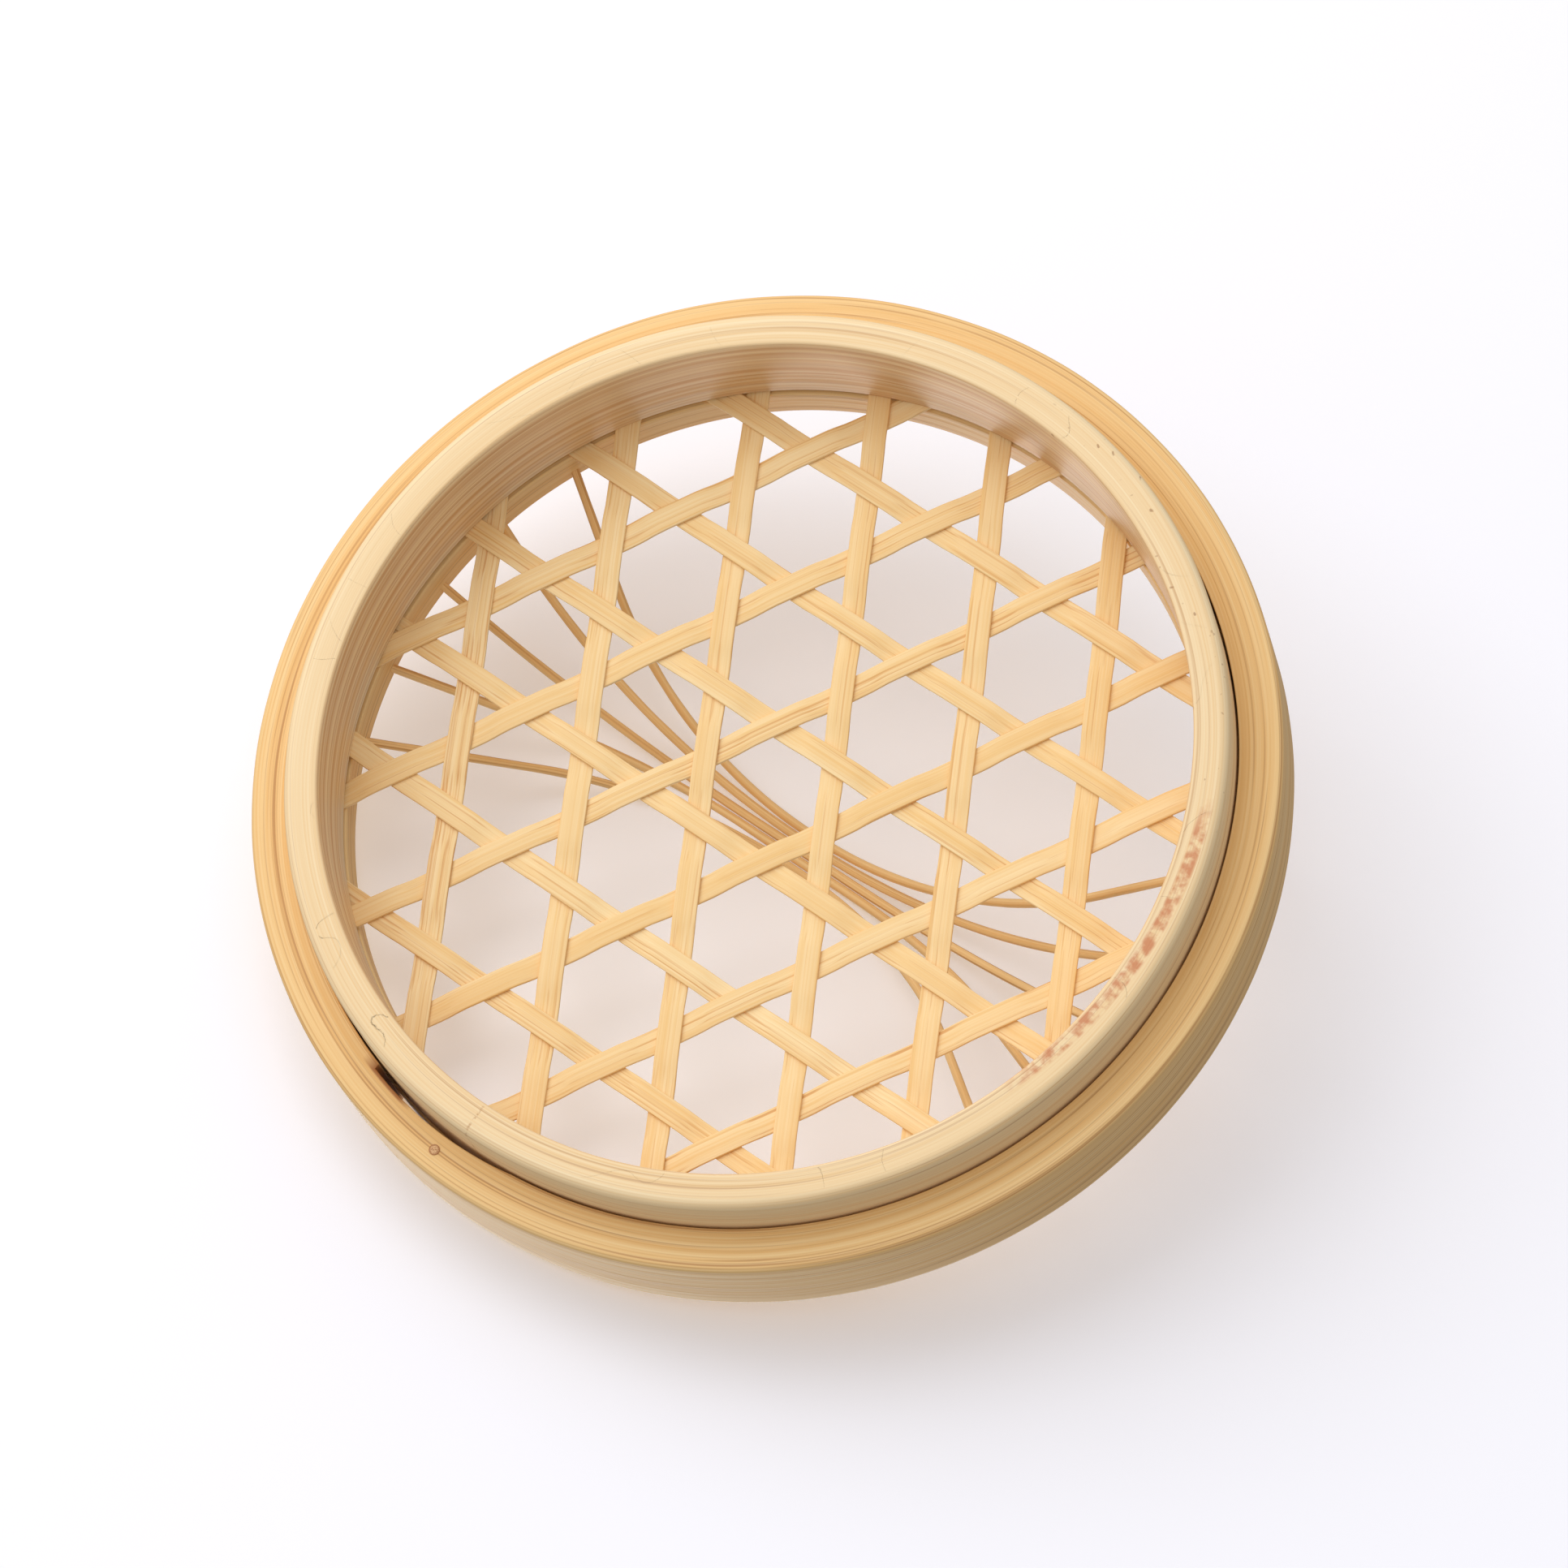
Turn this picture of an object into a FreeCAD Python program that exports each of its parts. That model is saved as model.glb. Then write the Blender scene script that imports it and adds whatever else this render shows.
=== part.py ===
"""Lid of a round bamboo basket: two bent hoops, a woven lattice, a clamping hoop and a five-rod handle.

Frame: Z up in use, handle on top. The origin is on the hoops' common axis, in the plane of
the spigot's end face, which the lid stands on. X runs along the handle.
"""
import FreeCAD, Part
import math
import os

from FreeCAD import Placement, Rotation, Vector
import Sketcher

DOC = FreeCAD.newDocument("basket_lid")

# ---------------------------------------------------------------- driving dimensions
SIZES = [
    ("lid_radius", 90.0, "outer radius of the outer hoop"),
    ("outer_wall", 7.6, "radial thickness of the outer hoop"),
    ("hoop_glue_gap", 0.05, "clearance between nested hoops"),
    ("inner_wall", 6.55, "radial thickness of the inner hoop"),
    ("clamp_wall", 6.75, "radial thickness of the clamping hoop"),
    ("spigot_height", 9.6, "how far the inner hoop stands out of the outer hoop"),
    ("inner_height", 19.5, "full height of the inner hoop"),
    ("clamp_height", 7.4, "height of the clamping hoop above the lattice"),
    ("spigot_relief", 0.6, "how much the spigot is sanded back below the seat's radius"),
    ("spigot_round", 1.8, "rounding of the spigot's leading edge"),
    ("shoulder_round", 1.6, "rounding of the outer hoop's outer edges"),
    ("edge_round", 0.5, "small rounding of the other hoop edges"),
    ("lap_step", 1.3, "thickness of the blunt end where the outer hoop laps over itself"),
    ("lap_start", -74.0, "place of that blunt end round the hoop, degrees from X"),
    ("lap_length", 22.0, "arc over which the gap behind it closes again, degrees"),
    ("lap_bend", 55.0, "bend radius of the hoop where it steps over the lap"),
    ("peg_diameter", 1.9, "diameter of the peg that pins the lap"),
    ("peg_length", 12.0, "length of the peg"),
    ("peg_angle", -86.6, "place of the peg round the hoop, degrees from X"),
    ("peg_inset", 3.7, "distance of the peg's axis from the seat"),
    ("strip_width", 4.3, "width of a lattice strip"),
    ("strip_thickness", 0.6, "thickness of a lattice strip"),
    ("weave_gap", 0.04, "clearance between crossing strips"),
    ("seat_gap", 0.02, "clearance between the strips and the hoops that clamp them"),
    ("weave_pitch", 22.3, "distance between parallel strips"),
    ("weave_shift_x", 0.7, "how far the lattice's middle lies off the axis, along the handle"),
    ("weave_shift_y", -0.7, "how far it lies off the axis, across the handle"),
    ("flat_margin", 0.3, "extra length of the level stretch at a crossing"),
    ("strip_end_gap", 0.4, "clearance between a strip's end and the outer hoop"),
    ("rod_diameter", 1.6, "diameter of a handle rod"),
    ("rod_spacing", 1.75, "distance between the rods at the middle of the grip"),
    ("handle_rise", 20.8, "height of the grip's centre line above the clamping hoop"),
    ("hole_drop", 1.7, "depth of the rod holes' centres below the clamping hoop's top"),
    ("hole_depth", 4.0, "how far a rod runs into the clamping hoop"),
    ("hole_gap", 0.03, "clearance round a rod in its hole"),
]
# Each rod's own shape: the angle of its ends, half of its straight middle, its straight end runs.
RODS = [
    ("rod_1", 23.8, 1.0, 21.0),
    ("rod_2", 11.6, 1.0, 4.0),
    ("rod_3", 0.0, 12.0, 2.0),
    ("rod_4", -13.3, 12.0, 28.0),
    ("rod_5", -24.2, 1.0, 30.0),
]
STRIPS_PER_FAMILY = 6
FAMILIES = [("along", 90.0), ("left", 150.0), ("right", 30.0)]  # name, angle of the strips' normal

sheet = DOC.addObject("Spreadsheet::Sheet", "sizes")


def cell(row, alias, value, note):
    """One line of the sheet: note, number and the alias that expressions use."""
    sheet.set(f"A{row}", note)
    sheet.set(f"B{row}", str(value))
    sheet.setAlias(f"B{row}", alias)


row = 1
for alias, value, note in SIZES:
    cell(row, alias, value, note)
    row += 1
for name, angle, middle, run in RODS:
    cell(row, name + "_angle", angle, f"{name}: angle of its ends round the hoop, degrees")
    cell(row + 1, name + "_middle", middle, f"{name}: half length of its straight middle")
    cell(row + 2, name + "_run", run, f"{name}: length of its straight end runs")
    row += 3
DOC.recompute()


def size(alias):
    return float(sheet.get(alias))


# ---------------------------------------------------------------- heights and radii
SEAT = "(sizes.lid_radius - sizes.outer_wall)"
LATTICE_SPACE = "(2 * sizes.strip_thickness + sizes.weave_gap + 2 * sizes.seat_gap)"
CLAMP_LOW = f"(sizes.inner_height + {LATTICE_SPACE})"
LID_TOP = f"({CLAMP_LOW} + sizes.clamp_height)"
NEST_RADIUS = f"({SEAT} - sizes.hoop_glue_gap)"
SPIGOT_RADIUS = f"({NEST_RADIUS} - sizes.spigot_relief)"
INNER_BORE = f"({NEST_RADIUS} - sizes.inner_wall)"
CLAMP_BORE = f"({NEST_RADIUS} - sizes.clamp_wall)"

# The same values as numbers, for the first guess of a sketch and to find edges.
lid_top = sheet.evalExpression(LID_TOP)
seat_radius = sheet.evalExpression(SEAT)
nest_radius = sheet.evalExpression(NEST_RADIUS)
spigot_radius = sheet.evalExpression(SPIGOT_RADIUS)
inner_bore = sheet.evalExpression(INNER_BORE)
clamp_bore = sheet.evalExpression(CLAMP_BORE)


# ---------------------------------------------------------------- helpers
def new_body(name):
    body = DOC.addObject("PartDesign::Body", name)
    body.Label = name
    return body


def plane(body, role):
    return next(f for f in body.Origin.OriginFeatures if f.Role == role)


def new_sketch(body, name, role):
    sketch = body.newObject("Sketcher::SketchObject", name)
    sketch.AttachmentSupport = (plane(body, role), [""])
    sketch.MapMode = "FlatFace"
    return sketch


def outline(sketch, points):
    """Closes the points with straight lines; each point is then fixed by two named distances."""
    count = len(points)
    for i in range(count):
        a, b = points[i], points[(i + 1) % count]
        sketch.addGeometry(Part.LineSegment(Vector(a[0], a[1], 0), Vector(b[0], b[1], 0)), False)
    for i in range(count):
        sketch.addConstraint(Sketcher.Constraint("Coincident", i, 2, (i + 1) % count, 1))


def bind(sketch, constraint, expression):
    """Adds a constraint whose value follows an expression."""
    number = sketch.addConstraint(constraint)
    sketch.setExpression(f"Constraints[{number}]", expression)


def fix_x(sketch, edge, value, expression, end=1):
    """Distance of an edge's point from the sketch's vertical axis; point 3 is a circle's centre."""
    bind(sketch, Sketcher.Constraint("DistanceX", -1, 1, edge, end, value), expression)


def fix_y(sketch, edge, value, expression, end=1):
    """Distance of an edge's point from the sketch's horizontal axis."""
    bind(sketch, Sketcher.Constraint("DistanceY", -1, 1, edge, end, value), expression)


def polar(radius, degrees):
    """The sketch coordinates of a point at a radius and an angle, as two expressions."""
    return f"{radius} * cos({degrees})", f"{radius} * sin({degrees})"


def fix_point(sketch, edge, place):
    """Holds the edge's first point at the expressions, whichever side of the axes it is on."""
    start = sketch.Geometry[edge].StartPoint
    fix_x(sketch, edge, start.x, place[0])
    fix_y(sketch, edge, start.y, place[1])


def hoop(name, corners):
    """A ring turned about Z. Each corner of its section is a radius and a height, as expressions."""
    body = new_body(name)
    sketch = new_sketch(body, name + "_section", "XZ_Plane")
    outline(sketch, [(sheet.evalExpression(x), sheet.evalExpression(y)) for x, y in corners])
    for edge, (x, y) in enumerate(corners):
        fix_x(sketch, edge, sheet.evalExpression(x), x)
        fix_y(sketch, edge, sheet.evalExpression(y), y)
    turn = body.newObject("PartDesign::Revolution", name + "_turn")
    turn.Profile = sketch
    turn.ReferenceAxis = (plane(body, "Z_Axis"), [""])
    turn.Angle = 360.0
    DOC.recompute()
    return body


def plain_section(bore, rim, low, high):
    return [(bore, low), (rim, low), (rim, high), (bore, high)]


def rim_edges(body, radius, height):
    """Names of the circular edges of the tip at this radius and height."""
    names = []
    for number, edge in enumerate(body.Tip.Shape.Edges, 1):
        curve = edge.Curve
        if not isinstance(curve, Part.Circle):
            continue
        if abs(curve.Radius - radius) < 0.01 and abs(curve.Center.z - height) < 0.01:
            names.append(f"Edge{number}")
    return names


def round_rims(body, name, rims, expression):
    """Rounds the rims, given as (radius, height), with one fillet bound to the sheet."""
    base = body.Tip
    names = [n for radius, height in rims for n in rim_edges(body, radius, height)]
    fillet = body.newObject("PartDesign::Fillet", name)
    fillet.Base = (base, names)
    fillet.setExpression("Radius", expression)
    DOC.recompute()


# ---------------------------------------------------------------- hoops
def lap_gap(body):
    """The wedge left open behind the blunt end of the lap, down the whole height of the hoop."""
    sketch = new_sketch(body, "lap_wedge", "XY_Plane")
    start, end = "sizes.lap_start", "(sizes.lap_start - sizes.lap_length)"
    first, last = size("lap_start"), size("lap_start") - size("lap_length")
    step = size("lap_step")

    def at(radius, degrees):
        turn = math.radians(degrees)
        return Vector(radius * math.cos(turn), radius * math.sin(turn), 0)

    blunt, foot = at(seat_radius + step, first), at(seat_radius - step, first)
    tip = at(seat_radius, last)
    chord, bend = blunt - tip, size("lap_bend")
    inward = Vector(-chord.y, chord.x, 0).normalize()
    centre = (blunt + tip) / 2 + inward * math.sqrt(bend ** 2 - (chord.Length / 2) ** 2)
    from_angle = math.atan2(tip.y - centre.y, tip.x - centre.x)
    to_angle = math.atan2(blunt.y - centre.y, blunt.x - centre.x)
    sweep = Part.Circle(centre, Vector(0, 0, 1), bend)
    sketch.addGeometry(Part.ArcOfCircle(sweep, from_angle, to_angle), False)
    sketch.addGeometry(Part.LineSegment(tip, foot), False)
    sketch.addGeometry(Part.LineSegment(foot, blunt), False)
    sketch.addConstraint(Sketcher.Constraint("Coincident", 0, 1, 1, 1))
    sketch.addConstraint(Sketcher.Constraint("Coincident", 1, 2, 2, 1))
    sketch.addConstraint(Sketcher.Constraint("Coincident", 2, 2, 0, 2))
    fix_point(sketch, 1, polar(SEAT, end))
    fix_point(sketch, 2, polar(f"({SEAT} - sizes.lap_step)", start))
    blunt_place = polar(f"({SEAT} + sizes.lap_step)", start)
    fix_x(sketch, 2, blunt.x, blunt_place[0], end=2)
    fix_y(sketch, 2, blunt.y, blunt_place[1], end=2)
    bind(sketch, Sketcher.Constraint("Radius", 0, bend), "sizes.lap_bend")
    gap = body.newObject("PartDesign::Pocket", "lap_gap")
    gap.Profile = sketch
    gap.Midplane = True
    gap.Type = "ThroughAll"
    body.Tip = gap
    DOC.recompute()


def peg_sketch(body, name, growth):
    """The peg's circle on the XY plane; growth is the clearance added to its radius."""
    sketch = new_sketch(body, name, "XY_Plane")
    turn = math.radians(size("peg_angle"))
    reach = seat_radius + size("peg_inset")
    centre = Vector(reach * math.cos(turn), reach * math.sin(turn), 0)
    sketch.addGeometry(Part.Circle(centre, Vector(0, 0, 1), size("peg_diameter") / 2), False)
    place = polar(f"({SEAT} + sizes.peg_inset)", "sizes.peg_angle")
    fix_x(sketch, 0, centre.x, place[0], end=3)
    fix_y(sketch, 0, centre.y, place[1], end=3)
    radius = Sketcher.Constraint("Radius", 0, size("peg_diameter") / 2)
    bind(sketch, radius, f"sizes.peg_diameter / 2 + {growth}")
    sketch.setExpression(".AttachmentOffset.Base.z", "sizes.spigot_height")
    return sketch


outer = hoop("outer_hoop", plain_section(SEAT, "sizes.lid_radius", "sizes.spigot_height", LID_TOP))
outer_rims = [(size("lid_radius"), size("spigot_height")), (size("lid_radius"), lid_top)]
round_rims(outer, "outer_hoop_shoulder", outer_rims, "sizes.shoulder_round")
round_rims(outer, "outer_hoop_edge", [(seat_radius, lid_top)], "sizes.edge_round")
lap_gap(outer)
peg_hole = outer.newObject("PartDesign::Pocket", "peg_hole")
peg_hole.Profile = peg_sketch(outer, "peg_hole_circle", "sizes.hole_gap")
peg_hole.Reversed = True
peg_hole.setExpression("Length", "sizes.peg_length + sizes.hole_gap")
outer.Tip = peg_hole
DOC.recompute()

peg = new_body("lap_peg")
peg_pad = peg.newObject("PartDesign::Pad", "lap_peg_pad")
peg_pad.Profile = peg_sketch(peg, "lap_peg_circle", "0")
peg_pad.setExpression("Length", "sizes.peg_length")
DOC.recompute()

# The inner hoop is sanded back a little where it stands out, to slip into the basket's mouth.
inner = hoop("inner_hoop", [
    (INNER_BORE, "0"), (SPIGOT_RADIUS, "0"),
    (SPIGOT_RADIUS, "sizes.spigot_height"), (NEST_RADIUS, "sizes.spigot_height"),
    (NEST_RADIUS, "sizes.inner_height"), (INNER_BORE, "sizes.inner_height"),
])
round_rims(inner, "inner_hoop_end", [(spigot_radius, 0)], "sizes.spigot_round")
round_rims(inner, "inner_hoop_mouth", [(inner_bore, 0)], "sizes.edge_round")

# The clamping hoop before its rod holes are drilled.
clamp_blank = hoop("clamp_blank", plain_section(CLAMP_BORE, NEST_RADIUS, CLAMP_LOW, LID_TOP))
clamp_rims = [(clamp_bore, lid_top), (nest_radius, lid_top)]
round_rims(clamp_blank, "clamp_blank_edge", clamp_rims, "sizes.edge_round")

# ---------------------------------------------------------------- lattice strips
# Along a strip, the other two families cross it in turn, half a wave apart.
HALF_WAVE = "(sizes.weave_pitch / sin(60) / 2)"
LEVEL_HALF = "((sizes.strip_width / sin(60) + sizes.strip_width / tan(60)) / 2 + sizes.flat_margin)"
WAVES = 12


def wave_outline(sketch):
    """One wave of a strip seen from its side: level, down to the lower level, and up again."""
    places = [
        "0", LEVEL_HALF, f"{HALF_WAVE} - {LEVEL_HALF}", f"{HALF_WAVE} + {LEVEL_HALF}",
        f"2 * {HALF_WAVE} - {LEVEL_HALF}", f"2 * {HALF_WAVE}",
    ]
    high, low = "(sizes.weave_gap / 2)", "(0 - sizes.weave_gap / 2 - sizes.strip_thickness)"
    levels = [high, high, low, low, high, high]
    under = list(zip(places, levels))
    over = [(place, f"{level} + sizes.strip_thickness") for place, level in reversed(under)]
    corners = under + over
    values = [(sheet.evalExpression(x), sheet.evalExpression(y)) for x, y in corners]
    outline(sketch, values)
    for edge, (x, y) in enumerate(corners):
        if x == "0":
            sketch.addConstraint(Sketcher.Constraint("PointOnObject", edge, 1, -2))
        else:
            fix_x(sketch, edge, values[edge][0], x)
        fix_y(sketch, edge, values[edge][1], y)


def trim_rings(body, name, along, across):
    """Two rings round the hoops' axis: the pocket between them cuts a strip's row to length."""
    trim = new_sketch(body, name, "XY_Plane")
    centre = (sheet.evalExpression(along), sheet.evalExpression(across))
    radii = [f"{SEAT} - sizes.strip_end_gap", f"{WAVES} * 2 * {HALF_WAVE}"]
    for number, radius in enumerate(radii):
        value = sheet.evalExpression(radius)
        trim.addGeometry(Part.Circle(Vector(*centre, 0), Vector(0, 0, 1), value), False)
        bind(trim, Sketcher.Constraint("Radius", number, value), radius)
    trim.addConstraint(Sketcher.Constraint("Coincident", 0, 3, 1, 3))
    fix_x(trim, 0, centre[0], along, end=3)
    fix_y(trim, 0, centre[1], across, end=3)
    return trim


def strip(name, angle, number):
    """A strip whose normal stands at the angle, and whose place is counted from the middle."""
    count = number - (STRIPS_PER_FAMILY - 1) / 2
    body = new_body(name)
    side = new_sketch(body, name + "_wave", "XZ_Plane")
    wave_outline(side)
    pad = body.newObject("PartDesign::Pad", name + "_width")
    pad.Profile = side
    pad.Midplane = True
    pad.setExpression("Length", "sizes.strip_width")
    DOC.recompute()
    row_of = body.newObject("PartDesign::LinearPattern", name + "_row")
    row_of.Originals = [pad]
    row_of.Direction = (plane(body, "X_Axis"), [""])
    row_of.Occurrences = WAVES
    row_of.setExpression("Length", f"{WAVES - 1} * 2 * {HALF_WAVE}")
    body.Tip = row_of
    DOC.recompute()
    # The wave starts so that this strip is high where the second neighbour crosses it.
    start = f"({WAVES / 2} + 0.5 + {count / 2}) * 2 * {HALF_WAVE}"
    turned = angle - 90
    shift_along = f"(sizes.weave_shift_x * cos({turned}) + sizes.weave_shift_y * sin({turned}))"
    shift_across = f"(sizes.weave_shift_y * cos({turned}) - sizes.weave_shift_x * sin({turned}))"
    cut = body.newObject("PartDesign::Pocket", name + "_trim")
    across = f"(0 - {count} * sizes.weave_pitch - {shift_across})"
    cut.Profile = trim_rings(body, name + "_ends", f"({start} - {shift_along})", across)
    cut.Midplane = True
    cut.Type = "ThroughAll"
    body.Tip = cut
    DOC.recompute()
    body.Placement.Rotation = Rotation(Vector(0, 0, 1), turned)
    x_place = f"{count} * sizes.weave_pitch * cos({angle}) - {start} * cos({turned})"
    y_place = f"{count} * sizes.weave_pitch * sin({angle}) - {start} * sin({turned})"
    body.setExpression(".Placement.Base.x", f"{x_place} + sizes.weave_shift_x")
    body.setExpression(".Placement.Base.y", f"{y_place} + sizes.weave_shift_y")
    body.setExpression(".Placement.Base.z", f"sizes.inner_height + {LATTICE_SPACE} / 2")
    return body


strips = []
for family, angle in FAMILIES:
    for number in range(STRIPS_PER_FAMILY):
        strips.append(strip(f"strip_{family}_{number + 1}", angle, number))
DOC.recompute()

# ---------------------------------------------------------------- handle rods
# A rod lies in one tilted plane through X: straight in the middle, a round bend, a straight end.
def rod_numbers(name):
    """Reach, sideways place, tilt, drop, bend radius and end slope of half a rod."""
    angle = math.radians(size(name + "_angle"))
    place = (len(RODS) - 1) / 2 - [rod_name for rod_name, _, _, _ in RODS].index(name)
    reach, side = clamp_bore * math.cos(angle), clamp_bore * math.sin(angle)
    rise = size("handle_rise") + size("hole_drop")
    sideways = side - place * size("rod_spacing")
    drop = math.hypot(rise, sideways)
    # The bend and the straight run together bridge the rest of the reach and the whole drop.
    bend_reach, run = reach - size(name + "_middle"), size(name + "_run")
    slope = 2 * math.atan(drop / (bend_reach + run))
    radius = (bend_reach - run * math.cos(slope)) / math.sin(slope)
    tilt = math.atan2(rise, -sideways)
    return reach, place, tilt, drop, radius, slope


def rod(name):
    reach, place, tilt, drop, radius, slope = rod_numbers(name)
    middle, run, depth = size(name + "_middle"), size(name + "_run"), size("hole_depth")
    body = new_body(name)
    path = new_sketch(body, name + "_path", "XY_Plane")
    along = Vector(math.cos(slope), -math.sin(slope), 0)
    wall = Vector(reach, -drop, 0)
    bend_end = wall - along * run
    bend = Part.Circle(Vector(middle, -radius, 0), Vector(0, 0, 1), radius)
    path.addGeometry(Part.LineSegment(Vector(0, 0, 0), Vector(middle, 0, 0)), False)
    path.addGeometry(Part.ArcOfCircle(bend, math.pi / 2 - slope, math.pi / 2), False)
    path.addGeometry(Part.LineSegment(bend_end, wall), False)
    path.addGeometry(Part.LineSegment(wall, wall + along * depth), False)
    path.addConstraint(Sketcher.Constraint("Coincident", 0, 1, -1, 1))
    path.addConstraint(Sketcher.Constraint("Horizontal", 0))
    path.addConstraint(Sketcher.Constraint("Tangent", 0, 2, 1, 2))
    path.addConstraint(Sketcher.Constraint("Tangent", 1, 1, 2, 1))
    path.addConstraint(Sketcher.Constraint("Tangent", 2, 2, 3, 1))
    rise = "(sizes.handle_rise + sizes.hole_drop)"
    sideways = f"({CLAMP_BORE} * sin(sizes.{name}_angle) - {place} * sizes.rod_spacing)"
    lengths = [
        ("DistanceX", (0, 1, 0, 2), middle, f"sizes.{name}_middle"),
        ("DistanceX", (0, 1, 2, 2), reach, f"{CLAMP_BORE} * cos(sizes.{name}_angle)"),
        ("DistanceY", (2, 2, 0, 1), drop, f"sqrt({rise} ^ 2 + {sideways} ^ 2)"),
        ("Distance", (2, 1, 2, 2), run, f"sizes.{name}_run"),
        ("Distance", (3, 1, 3, 2), depth, "sizes.hole_depth"),
    ]
    for kind, ends, value, expression in lengths:
        bind(path, Sketcher.Constraint(kind, *ends, value), expression)
    section = new_sketch(body, name + "_section", "YZ_Plane")
    section.addGeometry(Part.Circle(Vector(0, 0, 0), Vector(0, 0, 1), size("rod_diameter") / 2), False)
    section.addConstraint(Sketcher.Constraint("Coincident", 0, 3, -1, 1))
    bind(section, Sketcher.Constraint("Diameter", 0, size("rod_diameter")), "sizes.rod_diameter")
    DOC.recompute()
    pipe = body.newObject("PartDesign::AdditivePipe", name + "_half")
    pipe.Profile = section
    pipe.Spine = path
    DOC.recompute()
    whole = body.newObject("PartDesign::Mirrored", name + "_whole")
    whole.Originals = [pipe]
    whole.MirrorPlane = (plane(body, "YZ_Plane"), [""])
    body.Tip = whole
    body.Placement.Rotation = Rotation(Vector(1, 0, 0), math.degrees(tilt))
    body.setExpression(".Placement.Base.y", f"{place} * sizes.rod_spacing")
    body.setExpression(".Placement.Base.z", f"{LID_TOP} + sizes.handle_rise")
    DOC.recompute()
    return body


def rod_holes(name):
    """The two straight holes that a rod's ends sit in, as cylinders."""
    reach, place, tilt, drop, _, slope = rod_numbers(name)
    holes = []
    for end, way in (("first", 1), ("second", -1)):
        hole = DOC.addObject("Part::Cylinder", f"{name}_{end}_hole")
        hole.setExpression("Radius", "sizes.rod_diameter / 2 + sizes.hole_gap")
        hole.setExpression("Height", "2 * sizes.hole_depth + sizes.hole_gap")
        # In the rod's own plane the axis starts one hole depth before the wall.
        axis = Vector(way * math.cos(slope), -math.sin(slope), 0)
        start = Vector(way * reach, -drop, 0) - axis * size("hole_depth")
        turned = Rotation(Vector(1, 0, 0), math.degrees(tilt))
        middle = Vector(0, place * size("rod_spacing"), lid_top + size("handle_rise"))
        aim = Rotation(Vector(0, 0, 1), turned.multVec(axis))
        hole.Placement = Placement(middle + turned.multVec(start), aim)
        holes.append(hole)
    return holes


rods = [rod(name) for name, _, _, _ in RODS]
holes = DOC.addObject("Part::MultiFuse", "rod_holes")
holes.Shapes = [hole for name, _, _, _ in RODS for hole in rod_holes(name)]
clamp_hoop = DOC.addObject("Part::Cut", "clamp_hoop")
clamp_hoop.Base = clamp_blank
clamp_hoop.Tool = holes
DOC.recompute()

# ---------------------------------------------------------------- check and write
for thing in DOC.Objects:
    if "Invalid" in thing.State or "Error" in thing.State:
        raise RuntimeError(f"{thing.Label} failed: {thing.State}")
nodes = [outer, inner, clamp_hoop, peg] + strips + rods
os.makedirs("parts", exist_ok=True)
for node in nodes:
    if node.Shape.isNull() or not node.Shape.isValid() or len(node.Shape.Solids) != 1:
        raise RuntimeError(f"{node.Label} isn't one valid solid")
for node in nodes:
    node.Shape.exportStep(f"parts/{node.Label}.step")
    box = node.Shape.BoundBox
    print(f"{node.Label}: {node.Shape.Volume:.1f} mm3, z {box.ZMin:.2f} to {box.ZMax:.2f}")
print(f"{len(nodes)} nodes")
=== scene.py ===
# %% [markdown]
# # A round bamboo basket lid
# The lid is two bent hoops, one inside the other, an open lattice of split strips that a third,
# clamping hoop holds down, a small peg and an arched grip of five thin rods.
# We load the measured model first. It is the frame that every piece has to fit, so sizes and
# places are read from it and the looks are built around it.

# %% Load the fixed frame
import math
import random

import bpy
from mathutils import Matrix, Vector


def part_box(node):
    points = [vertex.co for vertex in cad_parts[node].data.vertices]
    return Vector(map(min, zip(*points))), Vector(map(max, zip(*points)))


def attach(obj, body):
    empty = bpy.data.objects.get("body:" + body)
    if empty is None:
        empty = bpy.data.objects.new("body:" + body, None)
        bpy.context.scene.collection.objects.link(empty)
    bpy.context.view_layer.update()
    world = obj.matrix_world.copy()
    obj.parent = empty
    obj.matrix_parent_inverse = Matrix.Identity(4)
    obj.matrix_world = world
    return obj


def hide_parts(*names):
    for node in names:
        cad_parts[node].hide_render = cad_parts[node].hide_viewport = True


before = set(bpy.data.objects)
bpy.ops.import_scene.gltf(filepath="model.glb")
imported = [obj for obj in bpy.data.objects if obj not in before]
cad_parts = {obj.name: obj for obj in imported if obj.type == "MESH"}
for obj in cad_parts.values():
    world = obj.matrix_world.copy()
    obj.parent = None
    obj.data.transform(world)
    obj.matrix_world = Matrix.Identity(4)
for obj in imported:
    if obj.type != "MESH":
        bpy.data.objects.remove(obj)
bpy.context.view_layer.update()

print("pieces in the frame:", len(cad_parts))

# %% [markdown]
# ## Measures
# Blender works in metres and a bamboo worker in millimetres, so `MM` turns one into the other.
# Heights and outer radii come from the frame's boxes. Wall thicknesses can't be read from a box,
# so they are written down here once.

# %% Sizes of the hoops
MM = 0.001
outer_low, outer_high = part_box("outer_hoop")
inner_low, inner_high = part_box("inner_hoop")
clamp_low, clamp_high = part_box("clamp_hoop")
lattice_low, lattice_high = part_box("strip_along_1")

LID_RADIUS = outer_high.x
SEAT_RADIUS = LID_RADIUS - 7.6 * MM
SPIGOT_RADIUS = SEAT_RADIUS - 0.4 * MM
INNER_BORE = SEAT_RADIUS - 6.6 * MM
CLAMP_BORE = SEAT_RADIUS - 6.8 * MM
CLAMP_RADIUS = SEAT_RADIUS - 0.05 * MM
SHOULDER = outer_low.z
LID_TOP = outer_high.z
LATTICE_LEVEL = (lattice_low.z + lattice_high.z) / 2
print(f"outer radius {LID_RADIUS / MM:.1f} mm, lattice at {LATTICE_LEVEL / MM:.2f} mm")

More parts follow.
